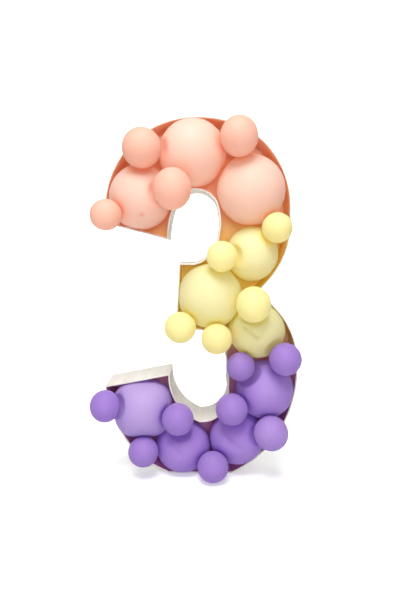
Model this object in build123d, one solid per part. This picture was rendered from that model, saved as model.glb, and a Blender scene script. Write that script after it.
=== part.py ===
"""Standing numeral 3: an open-fronted board tray filled with round latex balloons.

Frame: +Z up, +X to the right seen from the front, the open front faces -Y.
The origin is the middle of the flat foot that the numeral stands on.
"""

import os
from math import asin, cos, degrees, radians, sin, sqrt

from build123d import *

os.makedirs("parts", exist_ok=True)

# ---------------------------------------------------------------- driving sizes, mm
NUMERAL_HEIGHT = 1200.0  # foot to crown; the numeral's width follows it
TRAY_DEPTH = 155.0  # front rim to the back face
BOARD = 5.0  # thickness of the back panel and of the wall strips
FOOT_LENGTH = 216.0  # flat bottom that the numeral stands on

LARGE_SEAT_DEPTH = 25.0  # centres of the large balloons, behind the front rim
SMALL_PRESS = 5.0  # how deep a small balloon dents the large one under it
LATEX = 0.3  # stand-in thickness of the balloon skin

NECK_RADIUS = 4.0
LARGE_NECK_LENGTH = 24.0  # from the round body to the end of the rolled lip
SMALL_NECK_LENGTH = 17.0

BEAD_WIDTH = 6.0  # hot-glue bead between the back panel and the walls
BEAD_LENGTH = 40.0
BEAD_COUNT = 28
GLUE_DOT_RADIUS = 7.0

# ---------------------------------------------------------------- clearances, mm
PANEL_CLEARANCE = 0.3  # round the edge of the inset back panel
WALL_CLEARANCE = 0.3  # balloon skin to board
CONTACT_GAP = 0.6  # small balloon to the dent it sits in
LARGE_GAP = 0.3  # between two large balloons pressed together
GLUE_CLEARANCE = 0.1  # glue to what it sticks to

# ---------------------------------------------------------------- worked out
DRAWN_HEIGHT = 1200.0  # height at which the shape below is drawn
SCALE = NUMERAL_HEIGHT / DRAWN_HEIGHT
FRONT = -TRAY_DEPTH / 2
BACK = TRAY_DEPTH / 2
PANEL_FACE = BACK - BOARD
FOOT_HALF = FOOT_LENGTH / 2 / SCALE
ON_TOP = (Align.CENTER, Align.CENTER, Align.MIN)

# The seven sharp corners of the numeral, drawn at full height.
UPPER_TIP = (-312, 858)
WAIST_NOTCH = (186, 630)
LOWER_TIP = (-327, 308)
LOWER_HEEL = (-104, 352)
ARM_LOWER = (-85, 505)
ARM_UPPER = (-72, 727)
UPPER_HEEL = (-106, 804)

# Each wall strip runs from corner to corner: a lone point ends a straight run, and a
# pair is the middle and the end of an arc.
STRIPS = {
    "wall_upper_outer": (
        UPPER_TIP,
        [
            ((-306, 980), (-248, 1092)),
            ((-140, 1174), (-18, 1200)),
            ((107, 1181), (210, 1120)),
            ((274, 1024), (297, 890)),
            ((275, 746), WAIST_NOTCH),
        ],
    ),
    "wall_lower_outer": (
        WAIST_NOTCH,
        [
            ((283, 542), (329, 385)),
            ((309, 234), (226, 86)),
            ((172, 38), (FOOT_HALF, 0)),
            (-FOOT_HALF, 0),
            ((-180, 38), (-244, 97)),
            ((-299, 197), LOWER_TIP),
        ],
    ),
    "wall_lower_terminal": (LOWER_TIP, [LOWER_HEEL]),
    "wall_lower_counter": (
        LOWER_HEEL,
        [
            ((-82, 256), (-2, 187)),
            ((66, 212), (91, 300)),
            ((91, 366), (80, 430)),
            ((47, 482), (-10, 503)),
            ARM_LOWER,
        ],
    ),
    "wall_arm_end": (ARM_LOWER, [ARM_UPPER]),
    "wall_upper_counter": (
        ARM_UPPER,
        [
            (-20, 727),
            ((26, 753), (57, 818)),
            ((62, 868), (53, 922)),
            ((-15, 968), (-90, 905)),
            ((-102, 857), UPPER_HEEL),
        ],
    ),
    "wall_upper_terminal": (UPPER_HEEL, [UPPER_TIP]),
}

# Large balloons: centre x and z, radius, the direction of the neck in the front view,
# in degrees from +X towards +Z, and how far back the lip lies, as a share of the room
# between the balloon's middle and the back panel.
LARGE = {
    "peach_left": (-204, 948, 106, 104, 0.91),
    "peach_top": (-24, 1089, 114, 90, 0.91),
    "peach_right": (166, 968, 118, 60, 0.93),
    "yellow_waist": (175, 757, 91, 15, 0.97),
    "yellow_arm": (32, 616, 109, 45, 0.87),
    "yellow_lower": (194, 500, 95, 45, 0.96),
    "lilac_terminal": (-201, 223, 98, 60, 0.98),
    "lilac_foot_left": (-60, 88, 91, 90, 0.97),
    "lilac_foot_right": (127, 117, 95, 60, 0.96),
    "lilac_right": (220, 293, 99, 80, 0.98),
}

# Small balloons: centre x and z, radius, neck direction as above, its tilt towards the
# back in degrees, and the large balloons that each one nestles on.
SMALL = {
    "peach_upper_left": (-185, 1092, 63, 45, 80, ("peach_left", "peach_top")),
    "peach_upper_right": (121, 1126, 62, 330, 80, ("peach_top", "peach_right")),
    "peach_inner": (-88, 962, 62, 345, 80, ("peach_left", "peach_top")),
    "peach_tip": (-298, 883, 50, 300, 80, ("peach_left",)),
    "yellow_right": (245, 843, 49, 30, 80, ("yellow_waist", "peach_right")),
    "yellow_waist": (69, 752, 50, 210, 80, ("yellow_waist", "yellow_arm")),
    "yellow_arm_left": (-66, 520, 52, 45, 80, ("yellow_arm",)),
    "yellow_arm_below": (54, 484, 51, 30, 70, ("yellow_arm", "yellow_lower")),
    "yellow_lower": (170, 600, 57, 120, 80, ("yellow_lower", "yellow_arm")),
    "lilac_tip": (-317, 256, 52, 195, 70, ("lilac_terminal",)),
    "lilac_lower_left": (-193, 93, 51, 60, 80, ("lilac_foot_left", "lilac_terminal")),
    "lilac_inner": (-75, 211, 55, 240, 80, ("lilac_terminal", "lilac_foot_left")),
    "lilac_foot": (42, 53, 51, 270, 80, ("lilac_foot_left", "lilac_foot_right")),
    "lilac_counter": (104, 247, 55, 330, 80, ("lilac_right", "lilac_foot_right")),
    "lilac_right": (234, 169, 59, 15, 80, ("lilac_foot_right", "lilac_right")),
    "lilac_upper_right": (277, 418, 55, 315, 80, ("yellow_lower", "lilac_right")),
    "lilac_upper": (133, 387, 48, 135, 80, ("lilac_right", "yellow_lower")),
}


def drawn(point):
    """A point of the drawing at the numeral's real size, in the XZ plane."""
    return Vector(point[0] * SCALE, 0, point[1] * SCALE)


def strip_edges(start, runs):
    """The straight runs and arcs of one wall strip's outer face."""
    edges = []
    here = drawn(start)
    for run in runs:
        if isinstance(run[0], tuple):
            middle, end = drawn(run[0]), drawn(run[1])
            edges.append(Edge.make_three_point_arc(here, middle, end))
        else:
            end = drawn(run)
            edges.append(Edge.make_line(here, end))
        here = end
    return edges


def inward(tangent):
    """The normal that points into the numeral; the outline runs clockwise."""
    return Vector(tangent.Z, 0, -tangent.X)


def inset_edges(loop, inset):
    """The closed outline moved inwards, edge by edge, with mitred joints."""
    starts = []
    for index, edge in enumerate(loop):
        before = inward(loop[index - 1].tangent_at(1))
        after = inward(edge.tangent_at(0))
        bisector = (before + after).normalized()
        starts.append(edge.position_at(0) + bisector * (inset / bisector.dot(after)))
    moved = []
    for index, edge in enumerate(loop):
        start, end = starts[index], starts[(index + 1) % len(loop)]
        if edge.geom_type == GeomType.LINE:
            moved.append(Edge.make_line(start, end))
        else:
            middle = edge.position_at(0.5) + inward(edge.tangent_at(0.5)) * inset
            moved.append(Edge.make_three_point_arc(start, middle, end))
    return moved


OUTER_EDGES = {name: strip_edges(*path) for name, path in STRIPS.items()}
OUTLINE = [edge for edges in OUTER_EDGES.values() for edge in edges]


def prism(edges, front, back):
    """The area inside the edges, drawn at Y = 0, as a solid between two depths."""
    solid = Solid.extrude(Face(Wire(edges)), Vector(0, back - front, 0))
    return solid.moved(Location((0, front, 0)))


def wall_strips():
    """The seven board strips round the numeral, mitred where they meet."""
    inner_edges = inset_edges(OUTLINE, BOARD)
    walls = {}
    first = 0
    for name, outer in OUTER_EDGES.items():
        inner = inner_edges[first : first + len(outer)]
        first += len(outer)
        start = Edge.make_line(inner[0].position_at(0), outer[0].position_at(0))
        end = Edge.make_line(outer[-1].position_at(1), inner[-1].position_at(1))
        walls[name] = prism([start, *outer, end, *inner], FRONT, BACK)
    return walls


def back_panel():
    """The flat numeral that closes the back, let in between the walls."""
    return prism(inset_edges(OUTLINE, BOARD + PANEL_CLEARANCE), PANEL_FACE, BACK)


def seam_beads():
    """Short beads of hot glue in the corner between the back panel and the walls."""
    outer = inset_edges(OUTLINE, BOARD + GLUE_CLEARANCE)
    inner = inset_edges(OUTLINE, BOARD + GLUE_CLEARANCE + BEAD_WIDTH)
    front = PANEL_FACE - BEAD_WIDTH
    ring = prism(outer, front, PANEL_FACE) - prism(inner, front - 1, PANEL_FACE + 1)
    path = Wire(outer)
    beads = []
    for index in range(BEAD_COUNT):
        spot = path.position_at((index + 0.5) / BEAD_COUNT)
        window = Pos(spot.X, PANEL_FACE, spot.Z) * Sphere(BEAD_LENGTH / 2)
        beads.extend((ring & window).solids())
    return beads


def neck_direction(turn, tilt):
    """Unit vector of a neck from its direction in the front view and its tilt back."""
    flat = cos(radians(tilt))
    return Vector(flat * cos(radians(turn)), sin(radians(tilt)), flat * sin(radians(turn)))


def neck(radius, length):
    """Flare, knot and rolled lip of a balloon of this radius, along +Z."""
    root = 0.16 * radius
    sunk = radius - 4
    profile = [
        (0, sunk),
        (root, sunk),
        (NECK_RADIUS, radius + 0.35 * length),
        (NECK_RADIUS, radius + 0.5 * length),
        (1.5 * NECK_RADIUS, radius + 0.58 * length),
        (1.5 * NECK_RADIUS, radius + 0.7 * length),
        (NECK_RADIUS, radius + 0.78 * length),
        (2 * NECK_RADIUS, radius + 0.88 * length),
        (2 * NECK_RADIUS, radius + length),
        (0, radius + length),
    ]
    points = [Vector(across, 0, along) for across, along in profile]
    outline = Face(Wire.make_polygon(points, close=True))
    return revolve(outline, Axis.Z, 360)


def upright(centre, turn, tilt):
    """The place of a balloon that was made standing on the origin, neck upwards."""
    return Plane(origin=centre, z_dir=neck_direction(turn, tilt)).location


def large_centre(name):
    """Centre of a large balloon, behind the front rim."""
    x, z = LARGE[name][:2]
    return Vector(x * SCALE, FRONT + LARGE_SEAT_DEPTH * SCALE, z * SCALE)


def rim_depth(x, z, radius):
    """The furthest back that a ball can sit in front of the wall strips' rim."""
    rim = Face(Wire(OUTLINE)) - Face(Wire(inset_edges(OUTLINE, BOARD)))
    beside = rim.distance_to(Vertex(x, 0, z))
    reach = radius + WALL_CLEARANCE
    return FRONT - sqrt(reach**2 - beside**2) if beside < reach else BACK


def small_centre(name):
    """Centre of a small balloon: pressed into its neighbours and clear of the rim."""
    x, z, radius, _, _, seats = SMALL[name]
    x, z, radius = x * SCALE, z * SCALE, radius * SCALE
    depths = [rim_depth(x, z, radius)]
    for seat in seats:
        under = large_centre(seat)
        reach = radius + LARGE[seat][2] * SCALE - SMALL_PRESS
        across = (x - under.X) ** 2 + (z - under.Z) ** 2
        if across < reach**2:
            depths.append(under.Y - sqrt(reach**2 - across))
    return Vector(x, min(depths), z)


LARGE_CENTRES = {name: large_centre(name) for name in LARGE}
SMALL_CENTRES = {name: small_centre(name) for name in SMALL}


def large_tilt(name):
    """Tilt towards the back that keeps a large balloon's lip off the back panel."""
    _, _, radius, _, share = LARGE[name]
    room = PANEL_FACE - WALL_CLEARANCE - 2 * NECK_RADIUS - LARGE_CENTRES[name].Y
    reach = radius * SCALE + LARGE_NECK_LENGTH
    return degrees(asin(min(1, share * room / reach)))


def cavity(skin):
    """The room inside the tray, open to the front, with a skin's thickness off it."""
    inset = BOARD + WALL_CLEARANCE + skin
    return prism(inset_edges(OUTLINE, inset), 3 * FRONT, PANEL_FACE - WALL_CLEARANCE - skin)


def pressed(shape, name, room, skin):
    """A large balloon's shape cut back by the tray, its neighbours and small balloons."""
    centre, radius = LARGE_CENTRES[name], LARGE[name][2] * SCALE
    presses = []
    for other, other_centre in LARGE_CENTRES.items():
        apart = other_centre - centre
        reach = radius + LARGE[other][2] * SCALE
        if other != name and apart.length < reach + LARGE_GAP:
            balance = radius**2 - (LARGE[other][2] * SCALE) ** 2
            along = (apart.length**2 + balance) / (2 * apart.length)
            along -= LARGE_GAP / 2 + skin
            flat = Plane(origin=centre + apart.normalized() * along, z_dir=apart)
            slab = Box(3 * radius, 3 * radius, radius, align=ON_TOP)
            presses.append((flat.location * slab).solid())
    for other, other_centre in SMALL_CENTRES.items():
        dent = SMALL[other][2] * SCALE + CONTACT_GAP
        if (other_centre - centre).length < radius + dent:
            presses.append((Pos(*other_centre) * Sphere(dent + skin)).solid())
    return shape.intersect(room).solid().cut(*presses)


def large_balloon(name, rooms):
    """A large balloon as a hollow skin, shaped by what presses on it."""
    _, _, radius, turn, _ = LARGE[name]
    radius = radius * SCALE
    place = upright(LARGE_CENTRES[name], turn, large_tilt(name))
    outside = (place * (Sphere(radius) + neck(radius, LARGE_NECK_LENGTH))).solid()
    inside = (place * Sphere(radius - LATEX)).solid()
    return pressed(outside, name, rooms[0], 0).cut(pressed(inside, name, rooms[1], LATEX))


def small_balloon(name):
    """A small balloon as a round hollow skin."""
    _, _, radius, turn, tilt, _ = SMALL[name]
    radius = radius * SCALE
    place = upright(SMALL_CENTRES[name], turn, tilt)
    outside = Sphere(radius) + neck(radius, SMALL_NECK_LENGTH)
    return place * (outside - Sphere(radius - LATEX))


def glue_dots():
    """A dot of glue in each dent that a small balloon makes in a large one."""
    dots = []
    for name, centre in SMALL_CENTRES.items():
        radius = SMALL[name][2] * SCALE
        for seat in SMALL[name][5]:
            apart = LARGE_CENTRES[seat] - centre
            touching = radius + LARGE[seat][2] * SCALE - SMALL_PRESS / 2
            if apart.length < touching:
                outer = Sphere(radius + CONTACT_GAP - GLUE_CLEARANCE)
                skin = outer - Sphere(radius + GLUE_CLEARANCE)
                core = Cylinder(GLUE_DOT_RADIUS, 2 * radius, align=ON_TOP)
                dot = Plane(origin=centre, z_dir=apart).location * (skin & core)
                dots.extend(dot.solids())
    return dots


def build():
    """Every sub-part by its name."""
    rooms = (cavity(0), cavity(LATEX))
    parts = {"back_panel": back_panel(), **wall_strips()}
    parts["glue_seam_beads"] = Compound(children=seam_beads())
    parts["glue_dots"] = Compound(children=glue_dots())
    for name in LARGE:
        parts[f"balloon_large_{name}"] = large_balloon(name, rooms)
    for name in SMALL:
        parts[f"balloon_small_{name}"] = small_balloon(name)
    return parts


for node, part in build().items():
    export_step(part, f"parts/{node}.step")
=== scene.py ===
"""Looks of the standing numeral 3: a painted board tray filled with latex balloons."""

import logging
import math
from dataclasses import dataclass
from enum import Enum

import bmesh
import bpy
import numpy as np
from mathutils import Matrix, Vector
from mathutils import noise as mathutils_noise


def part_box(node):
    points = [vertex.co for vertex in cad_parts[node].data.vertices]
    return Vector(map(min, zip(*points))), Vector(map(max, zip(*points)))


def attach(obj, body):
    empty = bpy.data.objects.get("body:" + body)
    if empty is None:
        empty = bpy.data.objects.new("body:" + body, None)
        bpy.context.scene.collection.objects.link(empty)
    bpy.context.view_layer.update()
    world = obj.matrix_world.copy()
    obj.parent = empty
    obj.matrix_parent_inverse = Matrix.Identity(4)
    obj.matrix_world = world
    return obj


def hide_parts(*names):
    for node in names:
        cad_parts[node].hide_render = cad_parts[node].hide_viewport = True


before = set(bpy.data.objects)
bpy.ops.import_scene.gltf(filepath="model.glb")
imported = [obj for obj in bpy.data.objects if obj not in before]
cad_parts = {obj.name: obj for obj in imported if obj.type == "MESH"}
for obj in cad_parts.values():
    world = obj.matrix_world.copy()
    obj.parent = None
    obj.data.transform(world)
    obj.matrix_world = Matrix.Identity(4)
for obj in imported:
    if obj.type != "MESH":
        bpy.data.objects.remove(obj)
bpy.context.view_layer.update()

logging.basicConfig(level=logging.INFO, format="%(message)s")
LOG = logging.getLogger("numeral")

MM = 0.001
Colour = tuple[float, float, float]
Material = bpy.types.Material
Piece = bpy.types.Object
Socket = bpy.types.NodeSocket
Source = Socket | Colour | float
Place = tuple[float, float, float]
WHITE: Colour = (1.0, 1.0, 1.0)


class Hue(Enum):
    """The three colours of latex, as they stand in the part names."""

    PEACH = "peach"
    YELLOW = "yellow"
    LILAC = "lilac"


class Girth(Enum):
    """The two sizes of balloon, as they stand in the part names."""

    LARGE = "large"
    SMALL = "small"


def linear(red: int, green: int, blue: int) -> Colour:
    """A screen colour as linear light.

    Args:
        red, green, blue: the colour's parts, from 0 to 255.

    Returns:
        The same colour as three linear values from 0 to 1.
    """
    return tuple(
        (c / 255 / 12.92) if c / 255 <= 0.04045 else ((c / 255 + 0.055) / 1.055) ** 2.4
        for c in (red, green, blue)
    )


# ---------- shader writing


def add_node(
    tree: bpy.types.NodeTree, kind: str, inputs: dict | None = None, **options: object
) -> bpy.types.Node:
    """Adds a node to a tree.

    Args:
        tree: the tree.
        kind: Blender's name for the kind of node.
        inputs: the inputs' names or numbers, each with a socket, a colour or a value.
        options: the node's own settings.

    Returns:
        The node.
    """
    node = tree.nodes.new(kind)
    for key, value in options.items():
        setattr(node, key, value)
    for key, value in (inputs or {}).items():
        socket = node.inputs[key]
        if isinstance(value, Socket):
            tree.links.new(value, socket)
        elif isinstance(value, tuple) and socket.type == "RGBA":
            socket.default_value = (*value, 1.0)
        else:
            socket.default_value = value
    return node


class Shader:
    """Writes one node material, a node at a time."""

    def __init__(self, name: str) -> None:
        """Starts an empty material with one Principled surface.

        Args:
            name: the material's name.
        """
        self.material = bpy.data.materials.new(name)
        self.material.use_nodes = True
        self.tree = self.material.node_tree
        self.tree.nodes.clear()
        self.output = self.tree.nodes.new("ShaderNodeOutputMaterial")
        self.surface = self.tree.nodes.new("ShaderNodeBsdfPrincipled")
        self.tree.links.new(self.surface.outputs[0], self.output.inputs["Surface"])
        self.place = self.tree.nodes.new("ShaderNodeTexCoord").outputs["Object"]

    def let_through(self, colour: Source, share: float) -> None:
        """Lets light through the surface to its other side.

        Args:
            colour: the colour that the light takes, as a socket.
            share: how much of the light passes.
        """
        skin = add_node(self.tree, "ShaderNodeBsdfTranslucent", {"Color": colour}).outputs[0]
        sides = {0: share, 1: self.surface.outputs[0], 2: skin}
        both = add_node(self.tree, "ShaderNodeMixShader", sides)
        self.tree.links.new(both.outputs[0], self.output.inputs["Surface"])

    def set(self, **values: object) -> None:
        """Sets constant inputs of the Principled surface.

        Args:
            values: input names with spaces written as underscores, and their values.
        """
        for key, value in values.items():
            self.surface.inputs[key.replace("_", " ")].default_value = value

    def link(self, source: Source, socket: str) -> None:
        """Links an output to an input of the Principled surface.

        Args:
            source: the output socket.
            socket: the input's name.
        """
        self.tree.links.new(source, self.surface.inputs[socket])

    def noise(self, scale: float, detail: float = 3.0, stretch: Colour | None = None) -> Socket:
        """Noise in object coordinates.

        Args:
            scale: how many features there are in a metre, roughly.
            detail: the number of finer layers.
            stretch: optional scale along X, Y and Z.

        Returns:
            The noise's value, as a socket.
        """
        source = self.place
        if stretch:
            mapped = {"Vector": source, "Scale": stretch}
            source = add_node(self.tree, "ShaderNodeMapping", mapped).outputs[0]
        grain = {"Scale": scale, "Detail": detail, "Vector": source}
        node = add_node(self.tree, "ShaderNodeTexNoise", grain)
        return node.outputs["Fac"]

    def attribute(self, name: str) -> Socket:
        """A value stored on the mesh.

        Args:
            name: the attribute's name.

        Returns:
            The value, as a socket.
        """
        return add_node(self.tree, "ShaderNodeAttribute", attribute_name=name).outputs["Fac"]

    def spread(self, source: Source, low: float, high: float, to_low: float, to_high: float) -> Socket:
        """Stretches a range of values to another one, and clamps it.

        Args:
            source: the value, as a socket.
            low, high: the range that is read.
            to_low, to_high: the range that is given.

        Returns:
            The new value, as a socket.
        """
        ends = {"From Min": low, "From Max": high, "To Min": to_low, "To Max": to_high}
        return add_node(self.tree, "ShaderNodeMapRange", {**ends, "Value": source}).outputs[0]

    def math(self, operation: str, first: Source, second: Source) -> Socket:
        """Arithmetic on two values.

        Args:
            operation: Blender's name for it, such as MULTIPLY.
            first, second: sockets or numbers.

        Returns:
            The result, as a socket.
        """
        values = {0: first, 1: second}
        return add_node(self.tree, "ShaderNodeMath", values, operation=operation).outputs[0]

    def mix(self, factor: Source, first: Source, second: Source, kind: str = "MIX") -> Socket:
        """Mixes two colours.

        Args:
            factor: a socket or number, 0 for the first colour.
            first, second: colours or sockets.
            kind: Blender's blend type.

        Returns:
            The mixed colour, as a socket.
        """
        values = {0: factor, 6: first, 7: second}
        node = add_node(self.tree, "ShaderNodeMix", values, data_type="RGBA", blend_type=kind)
        return node.outputs[2]

    def bump(self, layers: list[tuple[Socket, float]]) -> None:
        """Adds fine relief to the surface.

        Args:
            layers: heights as sockets, each with its depth in metres.
        """
        below: dict = {}
        for height, depth in layers:
            relief = {"Distance": depth, "Height": height, **below}
            below = {"Normal": add_node(self.tree, "ShaderNodeBump", relief).outputs[0]}
        self.link(below["Normal"], "Normal")


@dataclass(frozen=True)
class LatexFinish:
    """Matte balloon latex, with painted shade and coloured bounce glow where other balloons and the
    boards are near.

    Attributes:
        name: the material's name.
        body: the colour of the stretched skin.
        deep: the deeper colour where the skin is thick, which is also painted in as shade and coloured
            bounce glow near other balloons and the boards.
        bloom: the chalky tone that drifts over the skin.
        roughness: how matte it is.
        chalk: how much bloom there is.
        glow: how strongly the deep colour is painted in as shade and bounce glow where other balloons
            and the boards are near.
        sheer: how much light the skin lets through.
        dense: how much the deep colour takes over where the skin is thick.
    """

    name: str
    body: Colour
    deep: Colour
    bloom: Colour
    roughness: float = 0.46
    chalk: float = 0.25
    glow: float = 0.85
    sheer: float = 0.5
    dense: float = 0.7

    def material(self) -> Material:
        """Writes the material.

        Returns:
            The latex material.
        """
        shader = Shader(self.name)
        drift = shader.spread(shader.noise(9.0, 4.0), 0.35, 0.7, 0.0, self.chalk)
        pale = shader.math("ADD", drift, shader.attribute("paleness"))
        colour = shader.mix(pale, self.body, self.bloom)
        # Painted shade and coloured bounce glow: the deep colour where other balloons and the boards are
        # near.
        near = shader.math("MULTIPLY", shader.attribute("painted_shade_and_glow"), self.glow)
        colour = shader.mix(near, colour, self.deep)
        thick = shader.math("MULTIPLY", shader.attribute("thickness"), self.dense)
        colour = shader.mix(thick, colour, self.deep, "MULTIPLY")
        speck = shader.spread(shader.noise(420.0, 2.0), 0.62, 0.78, 0.0, 0.05)
        colour = shader.mix(speck, colour, self.deep)
        shader.link(colour, "Base Color")
        rough = self.roughness
        wear = shader.spread(shader.noise(30.0, 5.0), 0.3, 0.7, rough - 0.05, rough + 0.07)
        shader.link(wear, "Roughness")
        shader.bump([(shader.noise(700.0, 2.0), 0.00006), (shader.noise(60.0, 2.0), 0.0002)])
        shader.set(Sheen_Weight=0.15, Sheen_Roughness=0.5, Specular_IOR_Level=0.3)
        shader.let_through(colour, self.sheer)
        return shader.material


@dataclass(frozen=True)
class BoardFinish:
    """Painted foam board, with painted shade and coloured bounce light from the balloons on the tray's
    inside.

    Attributes:
        name: the material's name.
        paint: the off-white paint.
        worn: the tone of rubbed edges and chips.
        painted_bounce_tints: heights in metres and the painted shade and bounce colour that the tray's
            inside takes there.
    """

    name: str
    paint: Colour
    worn: Colour
    painted_bounce_tints: tuple[tuple[float, Colour], ...]

    def material(self) -> Material:
        """Writes the material.

        Returns:
            The board material.
        """
        shader = Shader(self.name)
        brush = shader.noise(26.0, 5.0, (1.0, 0.12, 1.0))
        paint = shader.mix(shader.spread(brush, 0.35, 0.7, 0.0, 0.35), self.paint, self.worn)
        chips = shader.spread(shader.noise(160.0, 3.0), 0.70, 0.74, 0.0, 0.7)
        rim = shader.attribute("rim")
        paint = shader.mix(shader.math("MULTIPLY", chips, rim), paint, self.worn)
        # Painted shade and coloured bounce light from the balloons, on the faces inside the tray.
        painted_bounce_tint = self.painted_bounce_tint(shader)
        mottle = shader.spread(shader.noise(14.0, 3.0), 0.3, 0.7, 0.9, 1.0)
        inside = shader.math("MULTIPLY", shader.attribute("inside"), mottle)
        shader.link(shader.mix(inside, paint, painted_bounce_tint), "Base Color")
        shader.link(shader.spread(brush, 0.3, 0.7, 0.55, 0.75), "Roughness")
        shader.bump([(shader.noise(900.0, 2.0), 0.00008), (brush, 0.0003)])
        shader.set(Specular_IOR_Level=0.3)
        return shader.material

    def painted_bounce_tint(self, shader: Shader) -> Socket:
        """The painted shade and bounce colour of the tray's inside, which changes with height.

        Args:
            shader: the material that is being written.

        Returns:
            The colour, as a socket.
        """
        parts = add_node(shader.tree, "ShaderNodeSeparateXYZ", {0: shader.place})
        low, high = self.painted_bounce_tints[0][0], self.painted_bounce_tints[-1][0]
        height = shader.spread(parts.outputs[2], low, high, 0.0, 1.0)
        ramp = add_node(shader.tree, "ShaderNodeValToRGB", {0: height})
        elements = ramp.color_ramp.elements
        while len(elements) < len(self.painted_bounce_tints):
            elements.new(0.5)
        for element, (level, colour) in zip(elements, self.painted_bounce_tints):
            element.position = (level - low) / (high - low)
            element.color = (*colour, 1.0)
        return ramp.outputs[0]


@dataclass(frozen=True)
class GlueFinish:
    """Set hot glue, milky and a little glossy.

    Attributes:
        name: the material's name.
        tone: the colour of thin glue.
        milky: the colour of thick glue.
    """

    name: str = "glue"
    tone: Colour = (0.86, 0.83, 0.74)
    milky: Colour = (0.7, 0.66, 0.55)

    def material(self) -> Material:
        """Writes the material.

        Returns:
            The glue material.
        """
        shader = Shader(self.name)
        milk = shader.spread(shader.noise(80.0, 3.0), 0.3, 0.7, 0.0, 0.4)
        shader.link(shader.mix(milk, self.tone, self.milky), "Base Color")
        shader.link(shader.spread(shader.noise(50.0), 0.3, 0.7, 0.22, 0.4), "Roughness")
        shader.bump([(shader.noise(240.0, 3.0), 0.0004)])
        shader.set(Subsurface_Weight=0.3, Subsurface_Scale=0.004)
        return shader.material


BOARD = BoardFinish(
    "board",
    paint=linear(216, 212, 205),
    worn=linear(196, 182, 164),
    # Painted shade and bounce colour inside the tray: plum low down by the lilac balloons, yellow by the
    # yellow ones, peach at the top.
    painted_bounce_tints=(
        (0.0, linear(200, 112, 172)),
        (0.36, linear(222, 150, 178)),
        (0.46, linear(240, 206, 150)),
        (0.56, linear(250, 226, 104)),
        (0.72, linear(250, 222, 120)),
        (0.82, linear(250, 218, 140)),
        (0.9, linear(250, 214, 182)),
        (1.2, linear(252, 222, 192)),
    ),
)

# Each latex: its body, its deep colour, for thick skin and for painted shade and bounce glow, and its
# bloom.
LATEX_TONES = {
    (Hue.PEACH, Girth.LARGE): ((249, 223, 204), (255, 152, 84), (252, 232, 220)),
    (Hue.PEACH, Girth.SMALL): ((243, 204, 184), (253, 146, 96), (247, 214, 197)),
    (Hue.YELLOW, Girth.LARGE): ((249, 247, 196), (248, 230, 44), (251, 251, 212)),
    (Hue.YELLOW, Girth.SMALL): ((247, 240, 182), (238, 218, 66), (249, 245, 198)),
    (Hue.LILAC, Girth.LARGE): ((194, 154, 237), (126, 56, 204), (214, 190, 240)),
    (Hue.LILAC, Girth.SMALL): ((180, 145, 219), (122, 72, 182), (198, 168, 226)),
}
LATEX = {
    (hue, girth): LatexFinish(f"latex_{hue.value}_{girth.value}", *(linear(*tone) for tone in tones))
    for (hue, girth), tones in LATEX_TONES.items()
}


# ---------- what the frame holds


def node_points(node: str) -> np.ndarray:
    """The vertices of a construction node.

    Args:
        node: the node's name.

    Returns:
        An array of points in metres.
    """
    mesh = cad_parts[node].data
    points = np.zeros(len(mesh.vertices) * 3)
    mesh.vertices.foreach_get("co", points)
    return points.reshape(-1, 3)


@dataclass
class Ball:
    """A balloon's round body, as the construction model has it.

    Attributes:
        node: the balloon's node.
        centre: the middle of the ball, in metres.
        radius: its radius.
        neck: unit vector from the centre to the neck.
    """

    node: str
    centre: np.ndarray
    radius: float
    neck: np.ndarray

    @classmethod
    def from_node(cls, node: str) -> "Ball":
        """Fits the ball to the node's vertices.

        Args:
            node: the balloon's node.

        Returns:
            The fitted ball.
        """
        points = node_points(node)
        keep = np.ones(len(points), bool)
        for _ in range(8):
            rows = np.c_[2 * points[keep], np.ones(keep.sum())]
            answer = np.linalg.lstsq(rows, (points[keep] ** 2).sum(1), rcond=None)[0]
            centre = answer[:3]
            radius = math.sqrt(answer[3] + centre @ centre)
            error = np.abs(np.linalg.norm(points - centre, axis=1) - radius)
            keep = error < max(0.5 * MM, np.percentile(error, 60))
        away = points - centre
        tip = away[np.linalg.norm(away, axis=1) > radius + 8 * MM].mean(0)
        return cls(node, centre, radius, tip / np.linalg.norm(tip))

    @property
    def name(self) -> str:
        """The balloon's own name, without the kind of thing it is."""
        return self.node.removeprefix("balloon_")

    @property
    def girth(self) -> Girth:
        """Whether the balloon is a large or a small one."""
        return Girth.LARGE if "_large_" in self.node else Girth.SMALL

    @property
    def hue(self) -> Hue:
        """The balloon's colour."""
        return next(hue for hue in Hue if self.node.split("_")[2] == hue.value)


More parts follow.
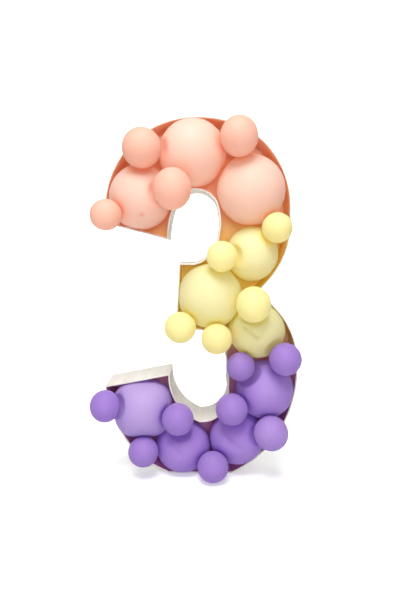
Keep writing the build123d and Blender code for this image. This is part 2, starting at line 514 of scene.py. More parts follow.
class Cavity:
    """The tray's inside: the outline that the back panel fills, and its depth."""

    def __init__(self) -> None:
        """Reads the outline from the back panel's front edge."""
        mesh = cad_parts["back_panel"].data
        self.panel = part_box("back_panel")[0].y
        self.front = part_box("wall_arm_end")[0].y
        points = node_points("back_panel")
        segments = set()
        for polygon in mesh.polygons:
            if abs(polygon.normal.y) < 0.5:
                for first, second in polygon.edge_keys:
                    if points[[first, second], 1].max() < self.panel + 0.1 * MM:
                        ends = [tuple(np.round(points[i, ::2], 6)) for i in (first, second)]
                        segments.add(tuple(sorted(ends)))
        segments = np.array([s for s in segments if s[0] != s[1]])
        self.starts, self.ends = segments[:, 0], segments[:, 1]

    def inward(self, points: np.ndarray) -> tuple[np.ndarray, np.ndarray]:
        """How far points are inside the outline, and the way in.

        Args:
            points: an array of points in the row frame.

        Returns:
            The distance to the outline, negative outside it, and unit vectors inwards.
        """
        flat = points[:, ::2]
        reach = np.abs(flat - flat.mean(0)).max() + 100 * MM
        middles = (self.starts + self.ends) / 2
        beside = np.abs(middles - flat.mean(0)).max(1) < reach
        nearest = np.zeros_like(flat)
        least = np.full(len(flat), np.inf)
        for start, end in zip(self.starts[beside], self.ends[beside]):
            run = end - start
            along = np.clip((flat - start) @ run / (run @ run), 0, 1)
            spots = start + along[:, None] * run
            far = ((flat - spots) ** 2).sum(1)
            closer = far < least
            least[closer] = far[closer]
            nearest[closer] = spots[closer]
        inside = np.zeros(len(flat), bool)
        for start, end in zip(self.starts, self.ends):
            if start[1] != end[1]:
                crosses = (start[1] > flat[:, 1]) != (end[1] > flat[:, 1])
                slope = (end[0] - start[0]) / (end[1] - start[1])
                inside ^= crosses & (start[0] + slope * (flat[:, 1] - start[1]) > flat[:, 0])
        away = flat - nearest
        gap = np.linalg.norm(away, axis=1)
        sign = np.where(inside, 1.0, -1.0)
        way = sign[:, None] * away / np.maximum(gap, 1e-9)[:, None]
        return sign * gap, np.c_[way[:, 0], np.zeros(len(way)), way[:, 1]]


# ---------- balloons


@dataclass(frozen=True)
class Pit:
    """How something round sinks into a large balloon.

    Attributes:
        margin: how much wider than the small balloon the pit is.
        softness: how gently its rim rolls off.
        slip: how far the pit's middle is to the right and up from the small balloon's.
    """

    margin: float = 4 * MM
    softness: float = 4 * MM
    slip: tuple[float, float] = (0.0, 0.0)


@dataclass(frozen=True)
class Fold:
    """A soft fold across the front of a large balloon, in shares of its radius.

    Attributes:
        start, end: where it runs, to the right and up from the balloon's middle.
        depth: how deep it is, or how high where it is negative.
        width: how wide it is.
    """

    start: tuple[float, float]
    end: tuple[float, float]
    depth: float
    width: float


@dataclass(frozen=True)
class Inflation:
    """How one balloon has filled out.

    Attributes:
        tall, wide: its height and width, as shares of a round balloon's.
        shift: how far its middle is to the right and up.
        square: how far its outline goes from round to square.
        pale: how much paler it is than its colour.
        spot: how dark the spot on its crown is.
        pits: the pits of the small balloons that press deepest.
        folds: its soft folds.
    """

    tall: float = 1.0
    wide: float = 1.0
    shift: tuple[float, float] = (0.0, 0.0)
    square: float = 0.0
    pale: float = 0.0
    spot: float = 0.05
    pits: tuple[tuple[str, Pit], ...] = ()
    folds: tuple[Fold, ...] = ()


INFLATIONS = {
    "large_peach_left": Inflation(
        tall=1.01, wide=0.985, shift=(4 * MM, -4 * MM), pale=0.3, spot=0.7,
        pits=(
            ("peach_inner", Pit(15 * MM, 5 * MM)),
            ("peach_upper_left", Pit(13 * MM, 5 * MM)),
        ),
    ),
    "large_peach_top": Inflation(
        tall=0.985, wide=0.97, shift=(-3 * MM, -2 * MM), pale=0.1,
        pits=(
            ("peach_inner", Pit(12 * MM, 6 * MM)),
            ("peach_upper_left", Pit(16 * MM, 5 * MM)),
        ),
    ),
    "large_peach_right": Inflation(
        tall=0.975, wide=0.965, pale=0.2,
        pits=(("peach_upper_right", Pit(15 * MM, 6 * MM)),),
    ),
    "large_yellow_waist": Inflation(
        wide=0.955, shift=(-3 * MM, 1 * MM), pale=0.2,
        pits=(("yellow_waist", Pit(16 * MM, 4 * MM)),),
    ),
    "large_yellow_arm": Inflation(
        pale=0.2, pits=(("yellow_waist", Pit(15 * MM, 4 * MM, (2 * MM, -3 * MM))),)
    ),
    "large_yellow_lower": Inflation(
        wide=1.01, shift=(-3 * MM, 0.0), pale=-0.1,
        pits=(
            ("yellow_lower", Pit(15 * MM, 5 * MM, (0.0, -4 * MM))),
            ("lilac_upper_right", Pit(14 * MM, 4 * MM)),
        ),
        folds=(
            Fold((-0.45, 0.24), (-0.04, -0.1), 7 * MM, 10 * MM),
            Fold((-0.04, -0.1), (0.3, 0.22), 5 * MM, 11 * MM),
        ),
    ),
    "large_lilac_terminal": Inflation(
        wide=1.05, square=0.45, pale=0.7,
        folds=(Fold((-0.85, 0.3), (-0.6, -0.6), 5 * MM, 8 * MM),),
        pits=(("lilac_tip", Pit(13 * MM, 4 * MM)),),
    ),
    "large_lilac_foot_left": Inflation(
        tall=0.975, wide=1.03, shift=(-1 * MM, 0.0),
        pits=(("lilac_inner", Pit(17 * MM, 4 * MM, (3 * MM, -4 * MM))),),
        folds=(Fold((-0.5, 0.45), (-0.02, 0.02), 4 * MM, 9 * MM),),
    ),
    "large_lilac_foot_right": Inflation(
        tall=0.96, shift=(0.0, 3 * MM), pale=-0.05,
        pits=(
            ("lilac_counter", Pit(24 * MM, 4 * MM, (4 * MM, -2 * MM))),
            ("lilac_right", Pit(13 * MM, 5 * MM)),
        ),
        folds=(
            Fold((-0.62, 0.5), (-0.36, 0.2), 5 * MM, 13 * MM),
            Fold((-0.36, 0.2), (0.05, -0.06), 5 * MM, 14 * MM),
        ),
    ),
    "large_lilac_right": Inflation(
        wide=1.02, pale=0.1,
        pits=(
            ("lilac_upper", Pit(22 * MM, 4 * MM)),
            ("lilac_upper_right", Pit(20 * MM, 4 * MM)),
        ),
    ),
    "small_peach_upper_left": Inflation(tall=1.02, wide=0.985),
    "small_peach_upper_right": Inflation(tall=1.035, wide=0.965),
    "small_peach_inner": Inflation(tall=1.06, wide=0.965, shift=(1 * MM, 0.0)),
    "small_yellow_lower": Inflation(tall=1.025, wide=0.985),
    "small_yellow_arm_below": Inflation(shift=(-1 * MM, -1 * MM), pale=-0.3),
    "small_lilac_tip": Inflation(tall=1.03, wide=0.96),
    "small_lilac_lower_left": Inflation(spot=0.0),
    "small_lilac_inner": Inflation(tall=0.98, wide=0.97),
    "small_lilac_foot": Inflation(wide=1.02, tall=1.01, spot=0.0),
    "small_lilac_counter": Inflation(tall=0.965, wide=0.97, spot=0.0),
    "small_lilac_right": Inflation(tall=0.98, wide=0.955, pale=0.5, spot=0.3),
    "small_lilac_upper_right": Inflation(tall=0.98, wide=0.975, spot=0.0),
}


# How far the lip is from the ball, and the rows on the way: a share of that and a width in neck radii.
NECK_REACH = {Girth.SMALL: 17 * MM, Girth.LARGE: 24 * MM}
NECK_ROWS = (
    (0.22, 1.9), (0.32, 1.25), (0.42, 1.0), (0.48, 1.1), (0.53, 1.6), (0.6, 1.75), (0.67, 1.55),
    (0.72, 1.0), (0.77, 1.05), (0.84, 1.5), (0.9, 1.85), (0.93, 2.1), (0.965, 2.15), (0.99, 2.0),
    (0.985, 1.8), (0.95, 1.7),
)


def soft(values: np.ndarray, softness: float) -> np.ndarray:
    """Zero where values are well below zero, the values well above it, smooth between.

    Args:
        values: the values.
        softness: how wide the smooth stretch is.

    Returns:
        The smoothed values.
    """
    return softness * np.logaddexp(0, values / softness)


@dataclass
class Surroundings:
    """All that can press on a balloon.

    Attributes:
        balls: every balloon's ball.
        cavity: the tray's inside.
        gap: the air left between the skin and what presses on it.
        bulge: how far in front of the rim the walls still let go of the skin.
        glow: how far from a neighbour the skin still takes on its painted shade and bounce glow.
    """

    balls: list[Ball]
    cavity: Cavity
    gap: float = 0.4 * MM
    bulge: float = 30 * MM
    glow: float = 9 * MM

    def press(self, points: np.ndarray, ball: Ball) -> np.ndarray:
        """Moves a large balloon's skin off whatever presses on it.

        Args:
            points: the skin before it is pressed.
            ball: the balloon.

        Returns:
            The pressed skin.
        """
        points = self._walls(points, 3 * MM)
        for other in self.balls:
            apart = other.centre - ball.centre
            reach = np.linalg.norm(apart)
            if other is ball or reach > ball.radius + other.radius + 2 * MM:
                continue
            if other.girth is Girth.LARGE:
                way = apart / reach
                flat = (reach**2 + ball.radius**2 - other.radius**2) / (2 * reach)
                over = (points - ball.centre) @ way - flat + self.gap
                points = points - soft(over, 2.5 * MM)[:, None] * way
            else:
                pits = dict(INFLATIONS.get(ball.name, Inflation()).pits)
                pit = pits.get(other.node.split("_small_")[1], Pit())
                away = points - other.centre - (pit.slip[0], 0.0, pit.slip[1])
                gap = np.linalg.norm(away, axis=1)
                over = other.radius + pit.margin - gap
                points = points + (soft(over, pit.softness) / gap)[:, None] * away
        return self._walls(points, 0.3 * MM)

    def _walls(self, points: np.ndarray, softness: float) -> np.ndarray:
        """Moves skin off the tray's walls and panel.

        Args:
            points: the skin.
            softness: how gently it rolls onto the board.

        Returns:
            The moved skin.
        """
        depth, way = self.cavity.inward(points)
        ahead = np.clip((self.cavity.front - points[:, 1]) / self.bulge, 0, 1)
        push = soft(self.gap - depth, softness) * (1 - ahead)
        points = points + push[:, None] * way
        over = soft(points[:, 1] - self.cavity.panel + 0.5 * MM, softness)
        points[:, 1] -= over
        return points

    def painted_shade_and_glow(self, points: np.ndarray, ball: Ball) -> np.ndarray:
        """How much painted shade and bounce glow the skin takes: how near it is to another balloon or to
        the walls, and how far back in the tray it lies.

        Args:
            points: the skin.
            ball: the balloon.

        Returns:
            Values from 0, in the open, to 1, where it touches.
        """
        near = np.zeros(len(points))
        # Painted bounce glow and shade near other balloons.
        for other in self.balls:
            if other is not ball:
                gap = np.linalg.norm(points - other.centre, axis=1) - other.radius
                near = np.maximum(near, np.exp(-np.maximum(gap, 0) / self.glow))
        depth, _ = self.cavity.inward(points)
        inside = points[:, 1] - self.cavity.front
        behind = np.clip(inside / self.bulge, 0, 1)
        # Painted shade and glow near the walls, behind the tray's rim.
        walls = 0.7 * np.exp(-np.maximum(depth, 0) / self.glow) * behind
        # Painted shade: the further back in the tray, the more of the deep colour.
        deep = 0.6 * np.clip(inside / (90 * MM), 0, 1)
        return np.maximum.reduce([near, walls, deep])


@dataclass
class Balloon:
    """One latex balloon: a round body, a neck, a knot and a rolled lip.

    Attributes:
        ball: where and how big its body is.
        around: how many points go round it.
        along: how many go from the crown to the neck.
        neck_radius: the neck's radius.
        mouth: the angle at which the ball gives way to the neck, in radians.
        crown: how wide the crown's spot is, in radians.
        taper: how far from the neck the skin begins to thicken, in radians.
        pleats: how deep the neck's seven pleats and its three waves are, as shares.
        uneven: how far the skin strays from the round, as a share.
    """

    ball: Ball
    around: int = 96
    along: int = 72
    neck_radius: float = 3.6 * MM
    mouth: float = 0.16
    crown: float = 0.07
    taper: float = 0.3
    pleats: tuple[float, float] = (0.16, 0.08)
    uneven: float = 0.006

    @property
    def inflation(self) -> Inflation:
        """How the balloon has filled out."""
        return INFLATIONS.get(self.ball.name, Inflation())

    def profile(self) -> list[tuple[float, float, float]]:
        """The balloon's outline from the crown to the lip.

        Returns:
            Distances along the axis and from it, each with how thick the skin is there.
        """
        radius, thin = self.ball.radius, self.neck_radius
        rows = []
        last = math.pi - self.mouth
        for step in range(1, self.along + 1):
            turn = last * step / self.along
            crown = self.inflation.spot * math.exp(-((turn / self.crown) ** 2))
            tail = math.exp(-(((math.pi - turn) / self.taper) ** 2))
            along = -(radius + 0.03 * radius * tail) * math.cos(turn)
            rows.append((along, radius * math.sin(turn), crown + tail))
        reach = NECK_REACH[self.ball.girth]
        for share, width in NECK_ROWS:
            rows.append((radius + share * reach, thin * width, 1.0))
        return rows

    def skin(self) -> tuple[np.ndarray, list[tuple[int, ...]], np.ndarray]:
        """The unpressed balloon as a closed mesh about the row's origin.

        Returns:
            Points, faces, and the thickness of the skin at each point.
        """
        up = self.ball.neck
        side = np.cross(up, (0.0, 0.0, 1.0))
        side /= np.linalg.norm(side)
        other = np.cross(up, side)
        rows = self.profile()
        turns = np.linspace(0, 2 * math.pi, self.around, endpoint=False)
        ring = np.cos(turns)[:, None] * side + np.sin(turns)[:, None] * other
        points, thick = [-up * self.ball.radius], [self.inflation.spot]
        for along, across, amount in rows:
            late = np.clip((along - self.ball.radius - 4 * MM) / (20 * MM), 0, 1)
            pleat = self.pleats[0] * late * np.cos(7 * turns + 3 * late)
            pleat = 1 + pleat + self.pleats[1] * late * np.cos(3 * turns)
            points.extend(up * along + ring * (across * pleat)[:, None])
            thick.extend([amount] * self.around)
        points.append(up * (rows[-1][0] - 1 * MM))
        thick.append(1.0)
        faces: list[tuple[int, ...]] = []
        count = self.around
        for index in range(count):
            following = (index + 1) % count
            faces.append((0, 1 + following, 1 + index))
            for row in range(len(rows) - 1):
                low, high = 1 + row * count, 1 + (row + 1) * count
                faces.append((low + index, low + following, high + following, high + index))
            top = 1 + (len(rows) - 1) * count
            faces.append((top + index, top + following, len(points) - 1))
        return np.array(points), faces, np.array(thick)

    def filled(self, points: np.ndarray) -> np.ndarray:
        """Fills the balloon out: stretched, squared and folded as it really is.

        Args:
            points: the skin, about the balloon's centre.

        Returns:
            The skin in its place, not yet pressed.
        """
        filling, radius = self.inflation, self.ball.radius
        flat = points[:, ::2] / radius
        corner = 4 * (flat[:, 0] * flat[:, 1]) ** 2
        points = points * (1 + 0.22 * filling.square * corner)[:, None]
        points = points * np.array((filling.wide, filling.wide, filling.tall))
        uneven = np.array([mathutils_noise.noise(Vector(p + self.ball.centre) * 9) for p in points])
        points = points * (1 + self.uneven * uneven)[:, None]
        for fold in filling.folds:
            start, end = (np.array(p) * radius for p in (fold.start, fold.end))
            run = end - start
            flat = points[:, ::2]
            along = ((flat - start) @ run) / (run @ run)
            beside = np.linalg.norm(flat - start - np.clip(along, 0, 1)[:, None] * run, axis=1)
            front = np.clip(-points[:, 1] / (0.3 * radius), 0, 1)
            depth = fold.depth * np.exp(-((beside / fold.width) ** 2)) * front
            points = points * (1 - depth / radius)[:, None]
        return points + self.ball.centre + (filling.shift[0], 0.0, filling.shift[1])

    def build(self, around: Surroundings, finish: Material) -> Piece:
        """Makes the balloon and lets it stand for its construction node.

        Args:
            around: what presses on it.
            finish: its latex.

        Returns:
            The balloon.
        """
        points, faces, thick = self.skin()
        points = self.filled(points)
        if self.ball.girth is Girth.LARGE:
            points = around.press(points, self.ball)
        piece = closed_mesh("skin_" + self.ball.name, points, faces, finish)
        store(piece, "thickness", thick)
        # The share of painted shade and bounce glow, for the latex.
        store(piece, "painted_shade_and_glow", around.painted_shade_and_glow(points, self.ball))
        store(piece, "paleness", np.full(len(points), self.inflation.pale))
        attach(piece, "root")
        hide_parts(self.ball.node)
        return piece


def placed(name: str, data: bpy.types.ID) -> Piece:
    """Puts a mesh, a light or a camera in the scene.

    Args:
        name: the object's name.
        data: what the object shows.

    Returns:
        The object.
    """
    thing = bpy.data.objects.new(name, data)
    bpy.context.scene.collection.objects.link(thing)
    return thing


def closed_mesh(
    name: str, points: np.ndarray, faces: list[tuple[int, ...]], finish: Material
) -> Piece:
    """A smooth closed mesh whose normals point outwards.

    Args:
        name: the piece's name.
        points: its vertices, in the row frame.
        faces: its faces.
        finish: its material.

    Returns:
        The new object.
    """
    mesh = bpy.data.meshes.new(name)
    mesh.from_pydata([tuple(p) for p in points], [], faces)
    mesh.materials.append(finish)
    corners = np.array([points[face[k]] for face in faces for k in (0, 1, 2)]).reshape(-1, 3, 3)
    volume = np.einsum("ij,ij->i", corners[:, 0], np.cross(corners[:, 1], corners[:, 2])).sum()
    if volume < 0:
        mesh.flip_normals()
    mesh.shade_smooth()
    return placed(name, mesh)


def store(piece: Piece, name: str, values: np.ndarray, domain: str = "POINT") -> None:
    """Stores a value for each point or face of a piece, for its material.

    Args:
        piece: the piece.
        name: the attribute's name.
        values: one value for each element.
        domain: POINT or FACE.
    """
    attribute = piece.data.attributes.new(name, "FLOAT", domain)
    attribute.data.foreach_set("value", np.asarray(values, np.float32))


# ---------- tray and glue


@dataclass
class Tray:
    """The back panel and the wall strips, cut from foam board.

    Attributes:
        cavity: the tray's inside.
        edge_round: how far the paint rounds the boards' edges.
        grid: the spacing of the points that the boards' faces get for their unevenness.
        sway: how far the hand-cut rims wander.
        nick: how deep the nicks in the rims are.
        sways, nicks: how many of them there are in a metre, roughly.
        rare: how much noise it takes to make a nick.
        rim: how far behind the front a face still counts as the rim.
    """

    cavity: Cavity
    edge_round: float = 0.6 * MM
    grid: float = 7 * MM
    sway: float = 0.5 * MM
    nick: float = 1.6 * MM
    sways: float = 22.0
    nicks: float = 75.0
    rare: float = 0.52
    rim: float = 4 * MM

    def build(self, finish: Material) -> list[Piece]:
        """Cuts the boards and paints them.

        Args:
            finish: the board's material.

        Returns:
            The boards.
        """
        nodes = [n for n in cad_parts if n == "back_panel" or n.startswith("wall_")]
        return [self.board(node, finish) for node in sorted(nodes)]

    def board(self, node: str, finish: Material) -> Piece:
        """One board, with rounded edges and a hand-cut front rim.

        Args:
            node: the construction node that it stands for.
            finish: the board's material.

        Returns:
            The board.
        """
        shape = bmesh.new()
        shape.from_mesh(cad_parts[node].data)
        bmesh.ops.remove_doubles(shape, verts=shape.verts, dist=0.01 * MM)
        bmesh.ops.dissolve_limit(
            shape, angle_limit=math.radians(0.5), verts=shape.verts, edges=shape.edges
        )
        sharp = [e for e in shape.edges if len(e.link_faces) == 2 and e.calc_face_angle(0) > 0.7]
        bmesh.ops.bevel(
            shape, geom=sharp, offset=self.edge_round, segments=2, profile=0.5, affect="EDGES"
        )
        if node != "back_panel":
            self.cut_rows(shape)
            self.roughen(shape)
        bmesh.ops.triangulate(shape, faces=[f for f in shape.faces if len(f.verts) > 4])
        mesh = bpy.data.meshes.new("board_" + node)
        shape.to_mesh(mesh)
        shape.free()
        mesh.materials.append(finish)
        board = placed("board_" + node, mesh)
        self.mark(board)
        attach(board, "root")
        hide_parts(node)
        return board

    def cut_rows(self, shape: bmesh.types.BMesh) -> None:
        """Adds rows of points behind the rim, where the strips' unevenness dies out.

        Args:
            shape: the strip.
        """
        for share in (0.25, 1.0, 3.0):
            bmesh.ops.bisect_plane(
                shape,
                geom=[*shape.verts, *shape.edges, *shape.faces],
                plane_co=(0, self.cavity.front + share * self.grid, 0),
                plane_no=(0, 1, 0),
            )

    def roughen(self, shape: bmesh.types.BMesh) -> None:
        """Makes the rim wander a little, and nicks it here and there.

        Args:
            shape: the strip.
        """
        long = [
            e for e in shape.edges
            if e.calc_length() > 1.6 * self.grid
            and max(v.co.y for v in e.verts) < self.cavity.front + 1.1 * self.grid
            and abs(e.verts[0].co.y - e.verts[1].co.y) < 0.1 * MM
        ]
        for edge in long:
            cuts = int(edge.calc_length() / self.grid)
            bmesh.ops.subdivide_edges(shape, edges=[edge], cuts=cuts)
        for vert in shape.verts:
            behind = vert.co.y - self.cavity.front
            if behind < 1.1 * self.grid:
                fade = max(0.0, 1 - behind / (1.1 * self.grid))
                along = Vector((vert.co.x, 0, vert.co.z))
                wander = mathutils_noise.noise(along * self.sways)
                knock = mathutils_noise.noise(along * self.nicks + Vector((7, 0, 3)))
                cut = max(0.0, knock - self.rare)
                vert.co.y += fade * (self.sway * (1 + wander) / 2 + self.nick * cut * 4)

    def mark(self, board: Piece) -> None:
        """Notes which faces lie inside the tray and which are its front rim.

        Args:
            board: the board.
        """
        faces = board.data.polygons
        middles = np.array([tuple(face.center) for face in faces])
        normals = np.array([tuple(face.normal) for face in faces])
        depth, _ = self.cavity.inward(middles + normals * 4 * MM)
        front = middles[:, 1] < self.cavity.front + self.rim
        inside = (depth > 0) & (np.abs(normals[:, 1]) < 0.5)
        panel_front = (normals[:, 1] < -0.5) & (middles[:, 1] > 0)
        # The inside faces take the painted shade and bounce colour.
        store(board, "inside", inside | panel_front, "FACE")
        store(board, "rim", (normals[:, 1] < 0.7) & front, "FACE")


@dataclass
class SeamBeads:
    """Beads of hot glue laid in the corner between the back panel and the walls.

    Attributes:
        cavity: the tray's inside.
        radius: a bead's radius, in metres.
        half_length: half a bead's length along the corner.
        unevenness: how much the radius comes and goes, as a share.
        step: the distance between the points of the path.
        sunk: how far a bead's middle is from panel and wall, as a share of its radius.
        seed: what the unevenness is drawn from.
    """

    cavity: Cavity
    radius: float = 2.85 * MM
    half_length: float = 19 * MM
    unevenness: float = 0.35
    step: float = 2.5 * MM
    sunk: float = 0.9
    seed: int = 7

    def centres(self) -> np.ndarray:
        """Finds the middle of each bead of the construction node.

        Returns:
            An array of points in metres.
        """
        shape = bmesh.new()
        shape.from_mesh(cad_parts["glue_seam_beads"].data)
        bmesh.ops.remove_doubles(shape, verts=shape.verts, dist=0.01 * MM)
        left = set(shape.verts)
        middles = []
        while left:
            bead, edge = set(), [left.pop()]
            while edge:
                vertex = edge.pop()
                bead.add(vertex)
                beside = {link.other_vert(vertex) for link in vertex.link_edges} & left
                left -= beside
                edge.extend(beside)
            points = np.array([vertex.co for vertex in bead])
            middles.append((points.min(0) + points.max(0)) / 2)
        shape.free()
        return np.array(middles)

    def path(self) -> Piece:
        """Draws the corner's line, whose points know how far the nearest bead's middle is.

        Returns:
            The line, as an object with edges only.
        """
        runs = []
        for start, end in zip(self.cavity.starts, self.cavity.ends):
            count = max(1, int(np.ceil(np.linalg.norm(end - start) / self.step)))
            runs.append(start + (np.arange(count + 1) / count)[:, None] * (end - start))
        spots, place = np.unique(np.round(np.concatenate(runs), 5), axis=0, return_inverse=True)
        place = place.ravel()
        jumps = np.cumsum([len(run) for run in runs])[:-1] - 1
        edges = np.delete(np.c_[place[:-1], place[1:]], jumps, axis=0)
        edges = edges[edges[:, 0] != edges[:, 1]]
        way = spots[edges[:, 1]] - spots[edges[:, 0]]
        side = np.c_[-way[:, 1], way[:, 0]] / np.linalg.norm(way, axis=1)[:, None]
        probe = spots[edges].mean(1) + side * MM
        depth, _ = self.cavity.inward(np.c_[probe[:, 0], np.zeros(len(probe)), probe[:, 1]])
        inwards = np.zeros_like(spots)
        np.add.at(inwards, edges.ravel(), np.repeat(side * np.sign(depth)[:, None], 2, axis=0))
        inwards /= np.maximum(np.linalg.norm(inwards, axis=1), 1e-9)[:, None]
        line = np.c_[spots[:, 0], np.full(len(spots), self.cavity.panel), spots[:, 1]]
        line += np.c_[inwards[:, 0], -np.ones(len(line)), inwards[:, 1]] * self.radius * self.sunk
        mesh = bpy.data.meshes.new("seam_path")
        mesh.from_pydata(line.tolist(), edges.tolist(), [])
        path = placed("seam_path", mesh)
        reach = np.linalg.norm(line[:, None] - self.centres()[None], axis=2).min(1)
        store(path, "reach", reach)
        return path

    def tree(self) -> bpy.types.NodeTree:
        """Writes the rule that turns the path into beads.

        Returns:
            The node tree.
        """
        tree = bpy.data.node_groups.new("beads_on_path", "GeometryNodeTree")
        face = tree.interface
        face.new_socket("Geometry", in_out="OUTPUT", socket_type="NodeSocketGeometry")
        face.new_socket("Geometry", in_out="INPUT", socket_type="NodeSocketGeometry")
        for name in ("Radius", "Half Length", "Unevenness", "Seed"):
            face.new_socket(name, in_out="INPUT", socket_type="NodeSocketFloat")
        face.new_socket("Material", in_out="INPUT", socket_type="NodeSocketMaterial")
        given = tree.nodes.new("NodeGroupInput").outputs

        def work(operation: str, first: Source, second: Source) -> Socket:
            """Adds arithmetic on two sockets or numbers."""
            values = {0: first, 1: second}
            return add_node(tree, "ShaderNodeMath", values, operation=operation).outputs[0]

        named = {0: "reach"}
        reach = add_node(tree, "GeometryNodeInputNamedAttribute", named, data_type="FLOAT").outputs[0]
        half = given["Half Length"]
        beyond = add_node(tree, "FunctionNodeCompare", {0: reach, 1: half}).outputs[0]
        gone = {0: given["Geometry"], 1: beyond}
        kept = add_node(tree, "GeometryNodeDeleteGeometry", gone).outputs[0]
        curve = add_node(tree, "GeometryNodeMeshToCurve", {0: kept}).outputs[0]
        share = work("DIVIDE", reach, half)
        rounded = work("SQRT", work("SUBTRACT", 1.05, work("POWER", share, 4.0)), 0.0)
        grain = {"W": given["Seed"], "Scale": 90.0}
        noise = add_node(tree, "ShaderNodeTexNoise", grain, noise_dimensions="4D").outputs[0]
        swing = work("MULTIPLY", work("SUBTRACT", noise, 0.5), given["Unevenness"])
        width = work("MULTIPLY", work("ADD", swing, 1.0), rounded)
        round_wire = {"Resolution": 12, "Radius": given["Radius"]}
        circle = add_node(tree, "GeometryNodeCurvePrimitiveCircle", round_wire).outputs[0]
        swept = {0: curve, 1: circle, "Scale": width, "Fill Caps": True}
        bead = add_node(tree, "GeometryNodeCurveToMesh", swept).outputs[0]
        real = add_node(tree, "GeometryNodeRealizeInstances", {0: bead}).outputs[0]
        glued = {0: real, "Material": given["Material"]}
        painted = add_node(tree, "GeometryNodeSetMaterial", glued).outputs[0]
        add_node(tree, "NodeGroupOutput", {0: painted})
        return tree

    def build(self, finish: Material) -> Piece:
        """Lays the beads and lets them stand for their construction node.

        Args:
            finish: the glue.

        Returns:
            The beads.
        """
        path = self.path()
        modifier = path.modifiers.new("beads", "NODES")
        modifier.node_group = self.tree()
        values = {
            "Radius": self.radius,
            "Half Length": self.half_length,
            "Unevenness": self.unevenness,
            "Seed": float(self.seed),
            "Material": finish,
        }
        for item in modifier.node_group.interface.items_tree:
            if item.in_out == "INPUT" and item.name in values:
                modifier[item.identifier] = values[item.name]
        settled = path.evaluated_get(bpy.context.evaluated_depsgraph_get())
        mesh = bpy.data.meshes.new_from_object(settled)
        path.modifiers.clear()
        bpy.data.objects.remove(path)
        mesh.name = "seam_beads"
        mesh.attributes.remove(mesh.attributes["reach"])
        mesh.shade_smooth()
        beads = placed("seam_beads", mesh)
        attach(beads, "root")
        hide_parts("glue_seam_beads")
        return beads


def paint_dots(finish: Material) -> None:
    """Gives the dots of glue under the small balloons their finish.

    Args:
        finish: the glue.
    """
    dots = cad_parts["glue_dots"]
    dots.data.materials.clear()
    dots.data.materials.append(finish)


# ---------- stage


@dataclass(frozen=True)
class Lamp:
    """A square soft light.

    Attributes:
        name: the light's name.
        place: where it hangs.
        size: its side, in metres.
        power: its power, in watts.
        target: what it faces.
        spread: how wide its light goes, in degrees.
    """

    name: str
    place: Place
    size: float
    power: float
    target: Place = (0.0, 0.0, 0.6)
    spread: float = 180.0

    def hang(self) -> None:
        """Puts the light in the scene."""
        lamp = bpy.data.lights.new(self.name, "AREA")
        lamp.size = self.size
        lamp.energy = self.power
        lamp.spread = math.radians(self.spread)
        holder = placed(self.name, lamp)
        holder.location = self.place
        aim = Vector(self.target) - Vector(self.place)
        holder.rotation_euler = aim.to_track_quat("-Z", "Y").to_euler()


LAMPS = (
    Lamp("key", (-0.2, -1.7, 3.7), 1.9, 150),
    Lamp("fill", (0.2, -3.6, 1.2), 1.2, 52),
    Lamp("backdrop", (0.0, 1.0, 3.6), 2.4, 60, (0.0, 2.9, 0.3), 80),
)


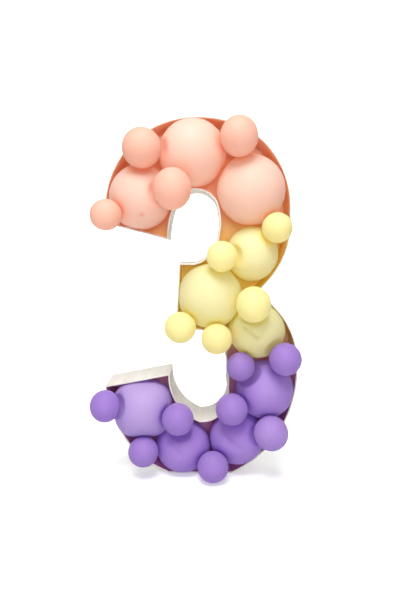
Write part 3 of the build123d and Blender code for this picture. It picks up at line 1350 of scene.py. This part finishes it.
@dataclass
class Studio:
    """The pale floor, the soft light and the camera.

    Attributes:
        eye: where the camera stands, in metres.
        pitch: how far it looks down, in degrees.
        yaw: how far it is turned to the left, in degrees.
        lens: the camera's focal length, in millimetres.
        sensor: its width, in millimetres.
        haze: how far the floor's shadows are lifted for the camera.
        sky: how strong the even light from all round is.
        bounces: how often light goes on from one surface to the next.
    """

    eye: tuple[float, float, float] = (0.022, -1.7875, 0.803)
    pitch: float = 6.6
    yaw: float = 0.8
    lens: float = 30.9
    sensor: float = 36.0
    haze: float = 0.36
    sky: float = 0.25
    bounces: int = 8

    def build(self) -> None:
        """Sets up the stage."""
        self.floor()
        for lamp in LAMPS:
            lamp.hang()
        world = bpy.data.worlds.new("studio")
        world.use_nodes = True
        background = world.node_tree.nodes["Background"].inputs
        background["Color"].default_value = (*WHITE, 1.0)
        background["Strength"].default_value = self.sky
        scene = bpy.context.scene
        scene.world = world
        scene.cycles.diffuse_bounces = self.bounces
        scene.view_settings.view_transform = "Standard"
        scene.render.film_transparent = False
        camera = placed("camera", bpy.data.cameras.new("camera"))
        camera.data.lens = self.lens
        camera.data.sensor_width = self.sensor
        camera.location = self.eye
        camera.rotation_euler = (math.radians(90 - self.pitch), 0, math.radians(self.yaw))
        scene.camera = camera

    def floor(self) -> None:
        """A white floor that curves up into a backdrop."""
        front, bend, sweep, top, half_width, steps = -4.0, 1.6, 1.2, 5.0, 6.0, 12
        profile = [(front, 0.0), (bend, 0.0)]
        for step in range(1, steps + 1):
            turn = math.radians(90 * step / steps)
            profile.append((bend + sweep * math.sin(turn), sweep - sweep * math.cos(turn)))
        profile.append((bend + sweep, top))
        points = [(x, y, z) for y, z in profile for x in (-half_width, half_width)]
        faces = [(2 * i, 2 * i + 1, 2 * i + 3, 2 * i + 2) for i in range(len(profile) - 1)]
        mesh = bpy.data.meshes.new("floor")
        mesh.from_pydata(points, [], faces)
        mesh.shade_smooth()
        shader = Shader("floor")
        tone = shader.spread(shader.noise(2.0), 0.3, 0.7, 0.0, 0.3)
        shader.link(shader.mix(tone, (0.8, 0.8, 0.8), (0.77, 0.77, 0.77)), "Base Color")
        seen = add_node(shader.tree, "ShaderNodeLightPath").outputs["Is Camera Ray"]
        shader.link(shader.math("MULTIPLY", seen, self.haze), "Emission Strength")
        shader.set(Roughness=0.9, Emission_Color=(*WHITE, 1.0))
        mesh.materials.append(shader.material)
        placed("floor", mesh)


def main() -> None:
    """Builds the numeral's looks and the stage."""
    cavity = Cavity()
    balls = [Ball.from_node(node) for node in sorted(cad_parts) if node.startswith("balloon_")]
    boards = Tray(cavity).build(BOARD.material())
    LOG.info("tray: %d boards", len(boards))
    glue = GlueFinish().material()
    paint_dots(glue)
    beads = SeamBeads(cavity).build(glue)
    LOG.info("seam beads: %d faces", len(beads.data.polygons))
    around = Surroundings(balls, cavity)
    finishes = {key: finish.material() for key, finish in LATEX.items()}
    for ball in balls:
        fine = (144, 110) if ball.girth is Girth.LARGE else (96, 72)
        piece = Balloon(ball, *fine).build(around, finishes[ball.hue, ball.girth])
        LOG.info("%s: radius %.0f mm, %d points", piece.name, ball.radius / MM, len(piece.data.vertices))
    Studio().build()


if __name__ == "__main__":
    main()
